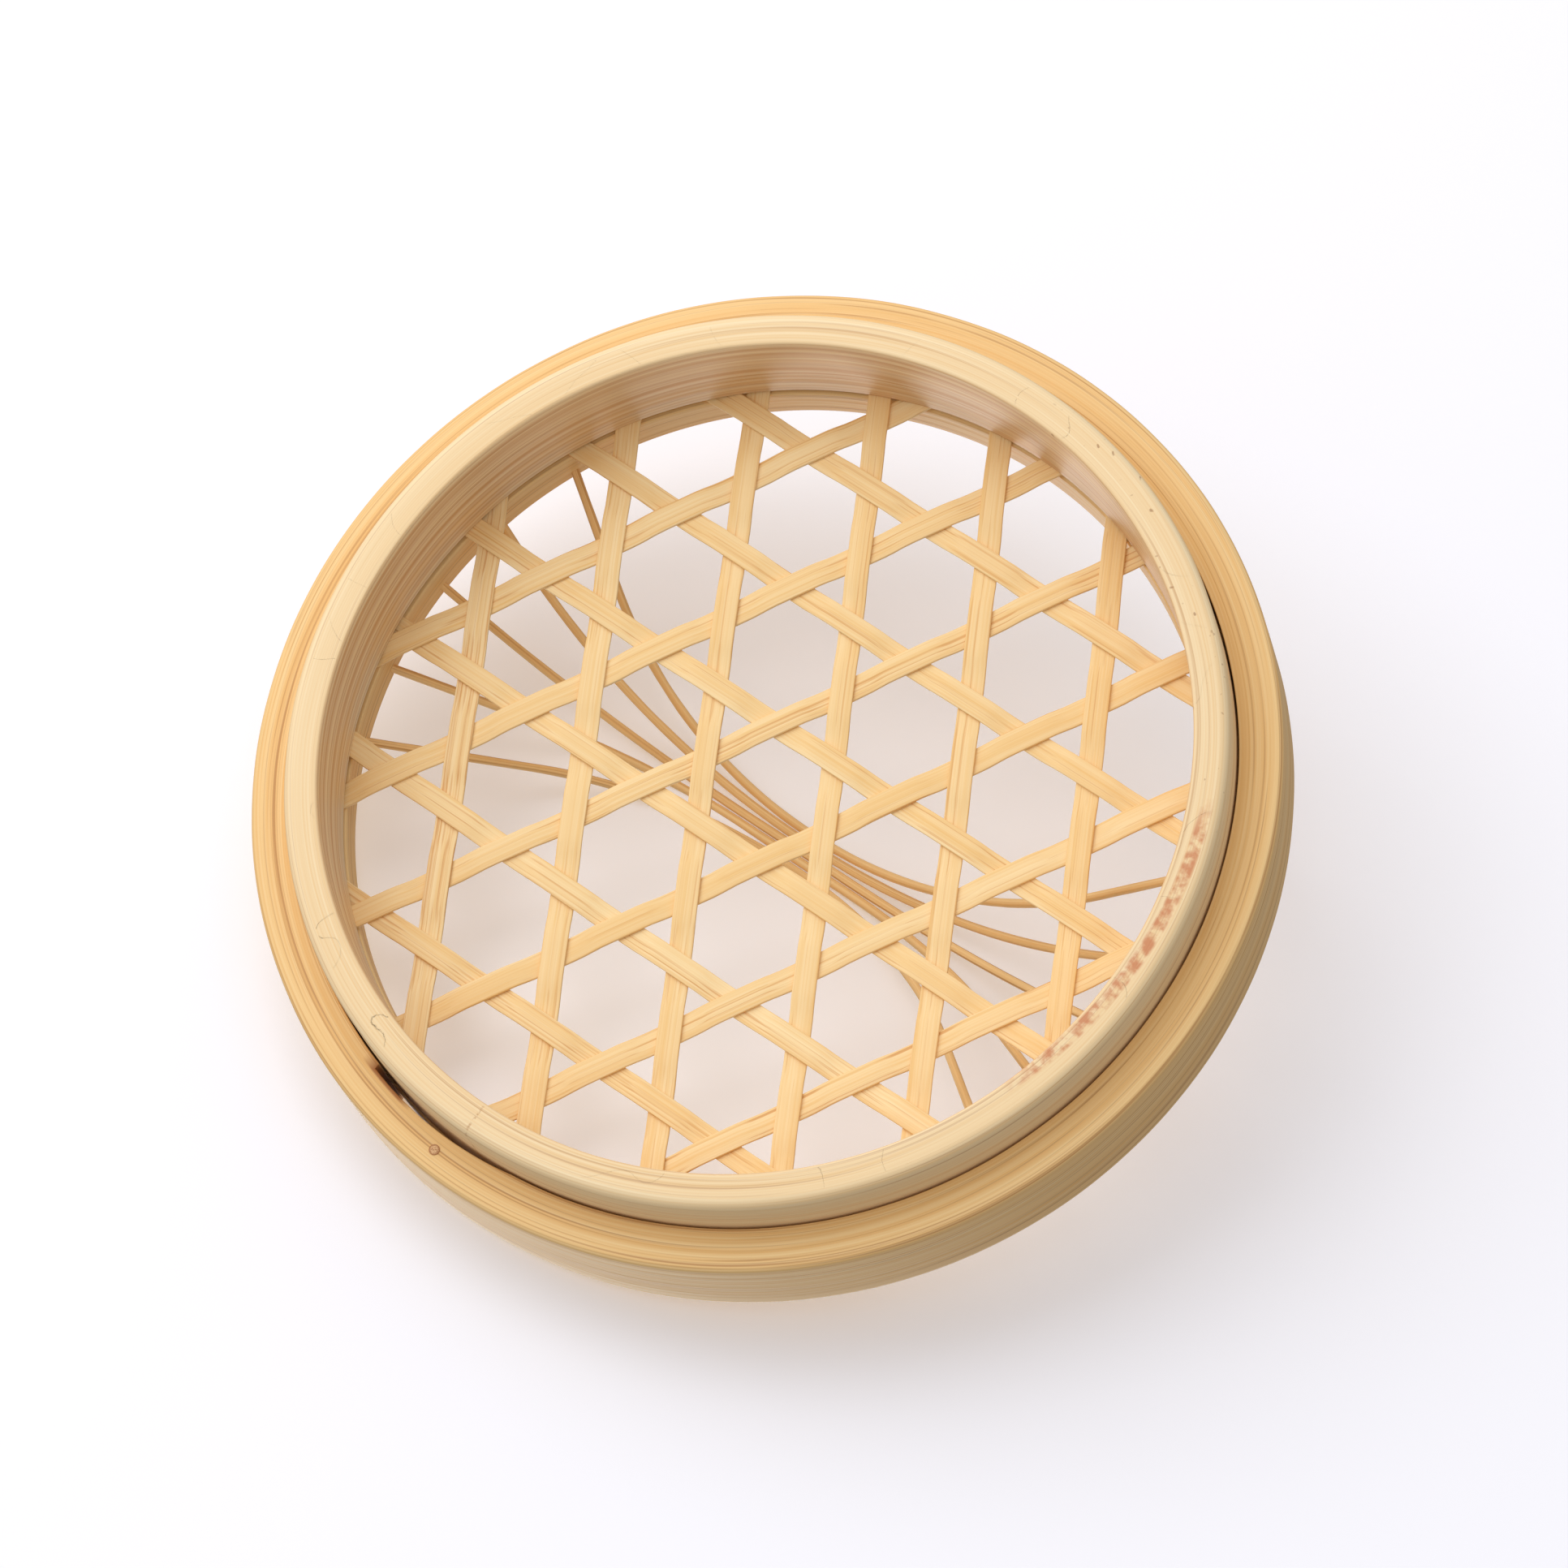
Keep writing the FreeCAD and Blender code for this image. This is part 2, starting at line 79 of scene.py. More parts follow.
# %% [markdown]
# ## A few hand tools
# Operators act on whatever is selected, so each step first clears the selection and then picks
# its own points or faces by their place. These helpers keep that in one spot. `finish_piece` puts
# the place into the mesh, smooths the shading and hands the piece to the frame.

# %% Helpers for selecting and finishing
def start_clean():
    """Leaves edit mode and selects nothing."""
    if bpy.context.object and bpy.context.object.mode != "OBJECT":
        bpy.ops.object.mode_set(mode="OBJECT")
    bpy.ops.object.select_all(action="DESELECT")


def pick_points(piece, wanted):
    """Selects the points whose place the test accepts, and goes to edit mode."""
    bpy.ops.object.mode_set(mode="EDIT")
    bpy.ops.mesh.select_mode(type="VERT")
    bpy.ops.mesh.select_all(action="DESELECT")
    bpy.ops.object.mode_set(mode="OBJECT")
    for point in piece.data.vertices:
        point.select = wanted(point.co)
    bpy.ops.object.mode_set(mode="EDIT")


def pick_edges(piece, wanted):
    """Selects the edges whose two ends the test accepts, and goes to edit mode."""
    bpy.ops.object.mode_set(mode="EDIT")
    bpy.ops.mesh.select_mode(type="EDGE")
    bpy.ops.mesh.select_all(action="DESELECT")
    bpy.ops.object.mode_set(mode="OBJECT")
    points = piece.data.vertices
    for edge in piece.data.edges:
        edge.select = wanted(points[edge.vertices[0]].co, points[edge.vertices[1]].co)
    bpy.ops.object.mode_set(mode="EDIT")


def close_up(piece):
    """Merges doubled points and turns every face outwards."""
    bpy.ops.object.mode_set(mode="EDIT")
    bpy.ops.mesh.select_all(action="SELECT")
    bpy.ops.mesh.remove_doubles(threshold=0.002 * MM)
    bpy.ops.mesh.normals_make_consistent(inside=False)
    bpy.ops.object.mode_set(mode="OBJECT")


def by_hand(piece, amount, grain):
    """Small unevenness of hand work: the surface wanders by up to half the amount either way."""
    clouds = bpy.data.textures.new(piece.name + "_unevenness", "CLOUDS")
    clouds.noise_scale = grain
    clouds.noise_depth = 1
    uneven = piece.modifiers.new("unevenness", "DISPLACE")
    uneven.texture = clouds
    uneven.texture_coords = "LOCAL"
    uneven.strength = amount
    uneven.mid_level = 0.5
    bpy.ops.object.modifier_apply(modifier=uneven.name)


def finish_piece(piece, name, material):
    """Names the piece, smooths it and lets it stand for the frame's node of the same name."""
    piece.name = name + "_shown"
    piece.data.name = piece.name
    bpy.ops.object.transform_apply(location=True, rotation=True, scale=True)
    bpy.ops.object.shade_smooth_by_angle(angle=math.radians(40))
    piece.data.materials.clear()
    piece.data.materials.append(material)
    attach(piece, "root")
    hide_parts(name)

# %% [markdown]
# ## Colours
# Bamboo is pale straw inside the culm's wall and warmer and more orange towards the skin. Colours
# are noted the way a paint chart gives them, from 0 to 255, and turned into light values.

# %% Paint chart
def paint(red, green, blue):
    """A colour from the chart as the linear values that a shader needs."""
    def light(value):
        value /= 255
        return value / 12.92 if value <= 0.04045 else ((value + 0.055) / 1.055) ** 2.4
    return (light(red), light(green), light(blue), 1.0)

# %% [markdown]
# ## The fibre pattern, shared by every piece
# Cut bamboo shows long parallel fibres: fine ones everywhere, broader pale and ripe bands, and a
# few dark veins. All pieces have them, so the pattern is one node group with its own inputs. It
# reads a place that is stretched beforehand: slow along the fibres and fast across them. The
# fourth number lets a hoop add its radius, so that the pattern can run round without a seam.

# %% Fibre node group
def noise(tree, place, turn, scale, detail):
    """A four-dimensional noise node read at the stretched place."""
    node = tree.nodes.new("ShaderNodeTexNoise")
    node.noise_dimensions = "4D"
    node.inputs["Scale"].default_value = scale
    node.inputs["Detail"].default_value = detail
    tree.links.new(place, node.inputs["Vector"])
    tree.links.new(turn, node.inputs["W"])
    return node.outputs["Fac"]


def spread(tree, value, low, high, to_low=0.0, to_high=1.0):
    """Maps the range low to high onto another one and cuts off what lies outside."""
    node = tree.nodes.new("ShaderNodeMapRange")
    node.inputs["From Min"].default_value = low
    node.inputs["From Max"].default_value = high
    node.inputs["To Min"].default_value = to_low
    node.inputs["To Max"].default_value = to_high
    tree.links.new(value, node.inputs["Value"])
    return node.outputs["Result"]


def sum_up(tree, kind, first, second):
    """One step of arithmetic; either side may be a socket or a plain number."""
    node = tree.nodes.new("ShaderNodeMath")
    node.operation = kind
    for socket, value in zip(node.inputs, (first, second)):
        if isinstance(value, (int, float)):
            socket.default_value = value
        else:
            tree.links.new(value, socket)
    return node.outputs["Value"]


def blend_colours(tree, amount, first, second):
    """Goes from the first colour to the second as the amount goes from 0 to 1."""
    node = tree.nodes.new("ShaderNodeMix")
    node.data_type = "RGBA"
    tree.links.new(amount, node.inputs["Factor"])
    for socket, value in ((node.inputs[6], first), (node.inputs[7], second)):
        if isinstance(value, tuple):
            socket.default_value = value
        else:
            tree.links.new(value, socket)
    return node.outputs[2]


def make_fibre_group():
    group = bpy.data.node_groups.new("bamboo_fibres", "ShaderNodeTree")
    for name, kind in (
        ("Place", "NodeSocketVector"), ("Turn", "NodeSocketFloat"), ("Pale", "NodeSocketColor"),
        ("Ripe", "NodeSocketColor"), ("Vein", "NodeSocketColor"), ("Veins", "NodeSocketFloat"),
    ):
        group.interface.new_socket(name=name, in_out="INPUT", socket_type=kind)
    for name, kind in (
        ("Color", "NodeSocketColor"), ("Height", "NodeSocketFloat"), ("Roughness", "NodeSocketFloat"),
    ):
        group.interface.new_socket(name=name, in_out="OUTPUT", socket_type=kind)
    taken = group.nodes.new("NodeGroupInput").outputs
    given = group.nodes.new("NodeGroupOutput").inputs
    place, turn = taken["Place"], taken["Turn"]
    fine = noise(group, place, turn, 1.0, 2.0)
    bands = noise(group, place, turn, 0.22, 3.0)
    broad = noise(group, place, turn, 0.05, 2.0)
    lines = noise(group, place, turn, 0.75, 2.0)
    fine_share = sum_up(group, "MULTIPLY", fine, 0.8)
    band_share = sum_up(group, "MULTIPLY", bands, 0.8)
    ripeness = sum_up(group, "ADD", fine_share, band_share)
    ripeness = sum_up(group, "ADD", ripeness, sum_up(group, "MULTIPLY", broad, 0.4))
    body = blend_colours(group, spread(group, ripeness, 0.72, 1.28), taken["Pale"], taken["Ripe"])
    vein = sum_up(group, "MULTIPLY", spread(group, lines, 0.56, 0.70), taken["Veins"])
    group.links.new(blend_colours(group, vein, body, taken["Vein"]), given["Color"])
    height = sum_up(group, "SUBTRACT", ripeness, sum_up(group, "MULTIPLY", vein, 0.6))
    group.links.new(height, given["Height"])
    group.links.new(spread(group, fine, 0.3, 0.7, 0.46, 0.66), given["Roughness"])
    return group


fibres = make_fibre_group()
print("fibre group:", len(fibres.nodes), "nodes")

# %% [markdown]
# ## Laying the pattern on straight and on bent pieces
# A strip's fibres run straight, so a Mapping node turns its coordinates to its own direction and
# squeezes the direction across. A hoop's fibres run round it. Its pattern is read on a circle of
# fixed size, with height and radius as the two directions across.

# %% Bamboo materials
ALONG = 12.0
ACROSS = 3000.0


def new_material(name):
    material = bpy.data.materials.new(name)
    material.use_nodes = True
    return material, material.node_tree


def add_fibres(tree, place, turn, pale, ripe, vein, veins):
    """Puts the fibre group into a material with that material's own colours."""
    node = tree.nodes.new("ShaderNodeGroup")
    node.node_tree = fibres
    for name, value in (("Pale", pale), ("Ripe", ripe), ("Vein", vein), ("Veins", veins)):
        node.inputs[name].default_value = value
    tree.links.new(place, node.inputs["Place"])
    if turn is not None:
        tree.links.new(turn, node.inputs["Turn"])
    return node.outputs


def lacquer_free(tree, colour, height, roughness, depth):
    """Bare sanded bamboo: no varnish, a soft sheen and fibres that can be felt."""
    surface = tree.nodes["Principled BSDF"]
    bump = tree.nodes.new("ShaderNodeBump")
    bump.inputs["Distance"].default_value = depth
    bump.inputs["Strength"].default_value = 0.8
    tree.links.new(height, bump.inputs["Height"])
    tree.links.new(bump.outputs["Normal"], surface.inputs["Normal"])
    tree.links.new(colour, surface.inputs["Base Color"])
    tree.links.new(roughness, surface.inputs["Roughness"])
    surface.inputs["Specular IOR Level"].default_value = 0.35


def round_place(tree):
    """The place, the turn, and the plain angle, radius and height of a point on a hoop."""
    where = tree.nodes.new("ShaderNodeTexCoord").outputs["Object"]
    parts = tree.nodes.new("ShaderNodeSeparateXYZ")
    tree.links.new(where, parts.inputs["Vector"])
    x, y, z = parts.outputs
    squares = sum_up(tree, "ADD", sum_up(tree, "MULTIPLY", x, x), sum_up(tree, "MULTIPLY", y, y))
    radius = sum_up(tree, "SQRT", squares, 0.0)
    joined = tree.nodes.new("ShaderNodeCombineXYZ")
    reach = ALONG * SEAT_RADIUS
    for socket, side in zip(joined.inputs, (x, y)):
        tree.links.new(sum_up(tree, "MULTIPLY", sum_up(tree, "DIVIDE", side, radius), reach), socket)
    tree.links.new(sum_up(tree, "MULTIPLY", z, ACROSS), joined.inputs["Z"])
    turn = sum_up(tree, "MULTIPLY", radius, ACROSS)
    angle = sum_up(tree, "MULTIPLY", sum_up(tree, "ARCTAN2", y, x), 180 / math.pi)
    return joined.outputs["Vector"], turn, angle, radius, z


def between(tree, value, low, high, soft):
    """1 between low and high, fading to 0 over the soft distance on both sides."""
    rise = spread(tree, value, low - soft, low)
    fall = spread(tree, value, high, high + soft, 1.0, 0.0)
    return sum_up(tree, "MULTIPLY", rise, fall)

# %% [markdown]
# ### The outer and the clamping hoop
# Both are cut from the ripe part of the wall. Where the outer hoop's thinned end laps over itself
# its cut end shows torn brown fibres. The darker brown painted there and on the pushed-out wall
# just behind it is partly that end grain and partly painted shade in the lap's recess.

# %% Outer hoop's material
LAP_START = -74.0
LAP_END = -96.0


def make_outer_bamboo():
    material, tree = new_material("outer_bamboo")
    place, turn, angle, radius, height = round_place(tree)
    bamboo = add_fibres(
        tree, place, turn, paint(247, 212, 153), paint(232, 178, 104), paint(166, 104, 50), 0.6
    )
    # Painted shade: the lap's recess behind the blunt end is tinted darker brown, partly end grain and
    # partly shade.
    inside_gap = between(tree, radius, SEAT_RADIUS + 0.3 * MM, SEAT_RADIUS + 1.5 * MM, 0.3 * MM)
    torn_end_and_shade = sum_up(tree, "MULTIPLY", inside_gap, between(tree, angle, LAP_START - 5.0, LAP_START, 2.0))
    torn_end_and_shade = sum_up(tree, "MULTIPLY", torn_end_and_shade, spread(tree, height, LID_TOP - 3 * MM, LID_TOP - 2 * MM, 1.0, 0.0))
    colour = blend_colours(tree, torn_end_and_shade, bamboo["Color"], paint(176, 118, 68))
    lacquer_free(tree, colour, bamboo["Height"], bamboo["Roughness"], 0.06 * MM)
    return material


outer_bamboo = make_outer_bamboo()

# %% [markdown]
# ### The inner hoop
# It is paler. On one stretch of its rounded end a little of the culm's reddish skin was left, with
# a broken edge, and a few dark specks stand beside it. A fine crack line marks where its own ends
# meet.

# %% Inner hoop's material
SKIN_FROM, SKIN_TO = 158.0, 194.0
SPECKS_FROM, SPECKS_TO = 98.0, 152.0
JOINT_ANGLE = -90.7


def spotty(tree, scale, detail):
    """Noise that is as long as it is wide, for stains and specks."""
    where = tree.nodes.new("ShaderNodeTexCoord").outputs["Object"]
    node = tree.nodes.new("ShaderNodeTexNoise")
    node.inputs["Scale"].default_value = scale
    node.inputs["Detail"].default_value = detail
    tree.links.new(where, node.inputs["Vector"])
    return node.outputs["Fac"]


def make_inner_bamboo():
    material, tree = new_material("inner_bamboo")
    place, turn, angle, radius, height = round_place(tree)
    bamboo = add_fibres(
        tree, place, turn, paint(251, 230, 190), paint(238, 200, 145), paint(176, 118, 68), 0.45
    )
    # The bore wall gets browner streaks than the sanded end: partly the culm's riper side,
    # partly painted shade inside the bore.
    streaks = spread(tree, noise(tree, place, turn, 0.4, 3.0), 0.35, 0.65)
    at_bore = spread(tree, radius, INNER_BORE, INNER_BORE + 0.5 * MM, 0.75, 0.0)
    bore = sum_up(tree, "MULTIPLY", streaks, at_bore)
    body = blend_colours(tree, bore, bamboo["Color"], paint(206, 148, 88))
    # Angles past 180 degrees go on from the negative side, so that the skin's stretch is one run.
    onward = sum_up(tree, "MULTIPLY", sum_up(tree, "LESS_THAN", angle, 0.0), 360.0)
    full_angle = sum_up(tree, "ADD", angle, onward)
    end_face = spread(tree, height, 0.6 * MM, 1.2 * MM, 1.0, 0.0)
    ragged = spotty(tree, 480.0, 8.0)
    skin = sum_up(tree, "MULTIPLY", between(tree, full_angle, SKIN_FROM, SKIN_TO, 5.0), end_face)
    # The stain drifts outwards from the bore's edge as it fades.
    drift = sum_up(tree, "MULTIPLY", sum_up(tree, "SUBTRACT", full_angle, SKIN_TO), 0.06 * MM)
    drifted = sum_up(tree, "ADD", radius, drift)
    band = between(tree, drifted, INNER_BORE + 0.3 * MM, INNER_BORE + 2.0 * MM, 0.5 * MM)
    skin = sum_up(tree, "MULTIPLY", skin, band)
    skin = sum_up(tree, "MULTIPLY", skin, spread(tree, ragged, 0.38, 0.58, 0.0, 0.85))
    colour = blend_colours(tree, skin, body, paint(206, 128, 84))
    specks = sum_up(tree, "MULTIPLY", between(tree, full_angle, SPECKS_FROM, SPECKS_TO, 8.0), end_face)
    specks = sum_up(tree, "MULTIPLY", specks, spread(tree, spotty(tree, 620.0, 1.0), 0.70, 0.76, 0.0, 0.6))
    colour = blend_colours(tree, specks, colour, paint(150, 96, 58))
    crack = between(tree, angle, JOINT_ANGLE - 0.08, JOINT_ANGLE + 0.08, 0.12)
    crack = sum_up(tree, "MULTIPLY", crack, spread(tree, spotty(tree, 1500.0, 2.0), 0.4, 0.6, 0.0, 0.6))
    colour = blend_colours(tree, crack, colour, paint(190, 140, 92))
    lacquer_free(tree, colour, bamboo["Height"], bamboo["Roughness"], 0.05 * MM)
    return material


inner_bamboo = make_inner_bamboo()

# %% [markdown]
# ### Strips, rods and peg
# Each family of strips has its own direction, so it gets its own copy of the strip material. The
# strips in a family come from different culms: a number counted across the family shifts the
# colour of each one a little. The rods carry a stored straight position, described further on.

# %% Strip, rod and peg materials
PITCH = 22.3 * MM
SHIFT = Vector((0.7 * MM, -0.7 * MM, 0))
STRIPS_PER_FAMILY = 6
FAMILIES = {"along": 90.0, "left": 150.0, "right": 30.0}


def make_strip_bamboo(family):
    """Bamboo whose fibres run along the strips of one family."""
    material, tree = new_material("strip_bamboo_" + family)
    direction = math.radians(FAMILIES[family] - 90)
    where = tree.nodes.new("ShaderNodeTexCoord").outputs["Object"]
    turned = tree.nodes.new("ShaderNodeVectorRotate")
    turned.rotation_type = "Z_AXIS"
    turned.inputs["Center"].default_value = SHIFT
    turned.inputs["Angle"].default_value = -direction
    tree.links.new(where, turned.inputs["Vector"])
    mapping = tree.nodes.new("ShaderNodeMapping")
    mapping.inputs["Location"].default_value = (FAMILIES[family], 0, 0)
    mapping.inputs["Scale"].default_value = (ALONG, ACROSS, 0.25 * ACROSS)
    tree.links.new(turned.outputs["Vector"], mapping.inputs["Vector"])
    parts = tree.nodes.new("ShaderNodeSeparateXYZ")
    tree.links.new(turned.outputs["Vector"], parts.inputs["Vector"])
    rows = sum_up(tree, "DIVIDE", parts.outputs["Y"], PITCH)
    number = sum_up(tree, "ROUND", sum_up(tree, "ADD", rows, 0.5), 0.0)
    culm = tree.nodes.new("ShaderNodeTexWhiteNoise")
    culm.noise_dimensions = "1D"
    tree.links.new(sum_up(tree, "ADD", number, FAMILIES[family]), culm.inputs["W"])
    bamboo = add_fibres(
        tree, mapping.outputs["Vector"], None,
        paint(252, 226, 176), paint(241, 197, 128), paint(212, 146, 76), 0.75,
    )
    warmth = sum_up(tree, "MULTIPLY", culm.outputs["Value"], 0.35)
    colour = blend_colours(tree, warmth, bamboo["Color"], paint(244, 200, 132))
    lacquer_free(tree, colour, bamboo["Height"], bamboo["Roughness"], 0.05 * MM)
    return material


def make_rod_bamboo():
    """Drawn rods are warmer, with one or two lines along them."""
    material, tree = new_material("rod_bamboo")
    straight = tree.nodes.new("ShaderNodeAttribute")
    straight.attribute_name = "straight"
    mapping = tree.nodes.new("ShaderNodeMapping")
    mapping.inputs["Scale"].default_value = (ALONG, ACROSS, ACROSS)
    tree.links.new(straight.outputs["Vector"], mapping.inputs["Vector"])
    bamboo = add_fibres(
        tree, mapping.outputs["Vector"], None,
        paint(248, 216, 160), paint(231, 182, 116), paint(176, 118, 62), 0.6,
    )
    lacquer_free(tree, bamboo["Color"], bamboo["Height"], bamboo["Roughness"], 0.04 * MM)
    return material


strip_bamboo = {family: make_strip_bamboo(family) for family in FAMILIES}
rod_bamboo = make_rod_bamboo()
print("materials:", len(bpy.data.materials))

# %% [markdown]
# ## The hoops
# A hoop is a slat steamed and bent round. We draw its cross-section as a plane, round its corners
# with a vertex bevel, drop the face and spin the outline once about the lid's axis. A cylinder
# with a hole would be quicker, but its edges would stay knife-sharp and its wall perfectly even.

# %% Spinning a hoop
SPIN_STEPS = 360
HOOP_UNEVENNESS = 0.16 * MM
HOOP_GRAIN = 0.02


def hoop_section(bore, rim, low, high, rounds):
    """The outline of a hoop's cross-section. rounds gives (radius, height, rounding) of corners."""
    start_clean()
    middle = ((bore + rim) / 2, 0, (low + high) / 2)
    bpy.ops.mesh.primitive_plane_add(size=1, location=middle, rotation=(math.pi / 2, 0, 0))
    section = bpy.context.object
    section.scale = (rim - bore, high - low, 1)
    bpy.ops.object.transform_apply(location=True, rotation=True, scale=True)
    for radius, height, rounding in rounds:
        corner = Vector((radius, 0, height))
        pick_points(section, lambda place: (place - corner).length < 0.1 * MM)
        bpy.ops.mesh.bevel(offset=rounding, segments=6, affect="VERTICES")
    bpy.ops.mesh.select_all(action="SELECT")
    bpy.ops.mesh.delete(type="ONLY_FACE")
    pick_edges(section, lambda a, b: (a - b).length > 2 * MM)
    bpy.ops.mesh.subdivide(number_cuts=4)
    return section


def spin_hoop(section):
    """Turns the outline once round the lid's axis and closes the seam."""
    bpy.ops.mesh.select_all(action="SELECT")
    bpy.ops.mesh.spin(steps=SPIN_STEPS, angle=2 * math.pi, center=(0, 0, 0), axis=(0, 0, 1))
    bpy.ops.object.mode_set(mode="OBJECT")
    close_up(section)


inner = hoop_section(INNER_BORE, SPIGOT_RADIUS, inner_low.z, inner_high.z, [
    (INNER_BORE, inner_low.z, 0.6 * MM), (SPIGOT_RADIUS, inner_low.z, 1.8 * MM),
    (INNER_BORE, inner_high.z, 0.3 * MM),
])
spin_hoop(inner)
by_hand(inner, HOOP_UNEVENNESS, HOOP_GRAIN)
finish_piece(inner, "inner_hoop", inner_bamboo)
print("inner hoop:", len(inner.data.polygons), "faces")

clamp = hoop_section(CLAMP_BORE, CLAMP_RADIUS, clamp_low.z, clamp_high.z, [
    (CLAMP_BORE, clamp_low.z, 0.3 * MM), (CLAMP_BORE, clamp_high.z, 0.6 * MM),
    (CLAMP_RADIUS, clamp_high.z, 0.6 * MM),
])
spin_hoop(clamp)
by_hand(clamp, HOOP_UNEVENNESS, HOOP_GRAIN)
finish_piece(clamp, "clamp_hoop", outer_bamboo)
print("clamping hoop:", len(clamp.data.polygons), "faces")

# %% [markdown]
# ### The outer hoop and its lap
# The outer slat's end is thinned and tucked under, and beyond the blunt end the hoop springs away
# from the inner one and comes back further on. We spin the hoop as before, cut one extra column of
# points close behind the blunt end, and push the inner wall outwards column by column along an
# arc. A boolean cut would leave ragged long triangles in the wall.

# %% Outer hoop
LAP_STEP = 1.0 * MM
CUT_BEHIND = 0.15
LAP_SWELL = 0.35 * MM


def lap_opening(angle):
    """How far the inner wall stands off at this angle, in metres."""
    share = (LAP_START - angle) / (LAP_START - LAP_END)
    if share < 0 or share > 1:
        return 0.0
    return LAP_STEP * (1 - share) + LAP_SWELL * 4 * share * (1 - share)


outer = hoop_section(SEAT_RADIUS, LID_RADIUS, SHOULDER, LID_TOP, [
    (SEAT_RADIUS, SHOULDER, 0.3 * MM), (LID_RADIUS, SHOULDER, 1.1 * MM),
    (LID_RADIUS, LID_TOP, 1.6 * MM), (SEAT_RADIUS, LID_TOP, 0.5 * MM),
])
spin_hoop(outer)
cut_angle = math.radians(LAP_START - CUT_BEHIND)
pick_points(outer, lambda place: abs(math.degrees(math.atan2(place.y, place.x)) - LAP_START + 0.5) < 0.6)
bpy.ops.mesh.bisect(plane_co=(0, 0, 0), plane_no=(-math.sin(cut_angle), math.cos(cut_angle), 0))
for column in [LAP_START - CUT_BEHIND] + [LAP_START - step for step in range(1, 22)]:
    def in_column(place):
        if math.hypot(place.x, place.y) > SEAT_RADIUS + 0.7 * MM:
            return False
        return abs(math.degrees(math.atan2(place.y, place.x)) - column) < 0.05

    pick_points(outer, in_column)
    push = lap_opening(column)
    turn = math.radians(column)
    bpy.ops.transform.translate(value=(push * math.cos(turn), push * math.sin(turn), 0))
bpy.ops.object.mode_set(mode="OBJECT")
by_hand(outer, HOOP_UNEVENNESS, HOOP_GRAIN)
finish_piece(outer, "outer_hoop", outer_bamboo)
print("outer hoop:", len(outer.data.polygons), "faces")

# %% [markdown]
# ### The lap's peg
# A short round peg pins the lap. Only its cut end shows, a little proud, with a ring of darker
# glue round it. It starts as a cylinder, and its end is inset and pushed up into a low dome.

# %% Lap peg
PEG_RADIUS = 0.95 * MM
peg_low, peg_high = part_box("lap_peg")
peg_middle = (peg_low + peg_high) / 2


def make_peg_bamboo():
    material, tree = new_material("peg_bamboo")
    where = tree.nodes.new("ShaderNodeTexCoord").outputs["Object"]
    mapping = tree.nodes.new("ShaderNodeMapping")
    mapping.inputs["Location"].default_value = (-peg_middle.x / PEG_RADIUS, -peg_middle.y / PEG_RADIUS, 0)
    mapping.inputs["Scale"].default_value = (1 / PEG_RADIUS, 1 / PEG_RADIUS, 0)
    tree.links.new(where, mapping.inputs["Vector"])
    from_axis = tree.nodes.new("ShaderNodeVectorMath")
    from_axis.operation = "LENGTH"
    tree.links.new(mapping.outputs["Vector"], from_axis.inputs[0])
    pores = tree.nodes.new("ShaderNodeTexNoise")
    pores.inputs["Scale"].default_value = 3.5
    tree.links.new(mapping.outputs["Vector"], pores.inputs["Vector"])
    rim = spread(tree, from_axis.outputs["Value"], 0.62, 0.95)
    depth = spread(tree, pores.outputs["Fac"], 0.4, 0.62)
    wood = blend_colours(tree, depth, paint(236, 196, 148), paint(186, 130, 86))
    colour = blend_colours(tree, rim, wood, paint(178, 122, 78))
    roughness = spread(tree, pores.outputs["Fac"], 0.3, 0.7, 0.6, 0.8)
    lacquer_free(tree, colour, pores.outputs["Fac"], roughness, 0.05 * MM)
    return material


start_clean()
bpy.ops.mesh.primitive_cylinder_add(
    vertices=32, radius=(peg_high.x - peg_low.x) / 2, depth=peg_high.z - peg_low.z, location=peg_middle
)
peg = bpy.context.object
bpy.ops.object.transform_apply(location=True, rotation=True, scale=True)
pick_points(peg, lambda place: place.z < peg_low.z + 0.1 * MM)
bpy.ops.transform.translate(value=(0, 0, -0.12 * MM))
bpy.ops.mesh.inset(thickness=0.15 * MM)
bpy.ops.mesh.inset(thickness=0.3 * MM)
bpy.ops.transform.translate(value=(0, 0, -0.08 * MM))
bpy.ops.object.mode_set(mode="OBJECT")
finish_piece(peg, "lap_peg", make_peg_bamboo())

# %% [markdown]
# ## The lattice
# Eighteen split strips in three directions make the open hexagons. Each strip goes over one
# neighbouring direction and under the other in turn. We draw the strip's end as a small plane with
# rounded corners and extrude it station by station, lifting and lowering it as the weaver does.
# A long box bent by a modifier couldn't follow the crossings.

# %% One strip
STRIP_WIDTH = 4.3 * MM
STRIP_THICKNESS = 0.6 * MM
STRIP_GAP = 0.04 * MM
STRIP_END_GAP = 0.45 * MM
STATION = 1.6 * MM
WAVE = PITCH / math.sin(math.radians(60))
LEVEL_HALF = (STRIP_WIDTH / math.sin(math.radians(60)) + STRIP_WIDTH / math.tan(math.radians(60))) / 2
LIFT = (STRIP_THICKNESS + STRIP_GAP) / 2


def weave_height(along, count):
    """Height of a strip over the lattice's middle level, at a distance along it."""
    wave = abs(((along / WAVE + count / 2) % 1.0) - 0.5) * WAVE
    slack = WAVE / 2 - 2 * LEVEL_HALF
    share = min(max((wave - LEVEL_HALF) / slack, 0.0), 1.0)
    return LIFT * math.cos(math.pi * share)


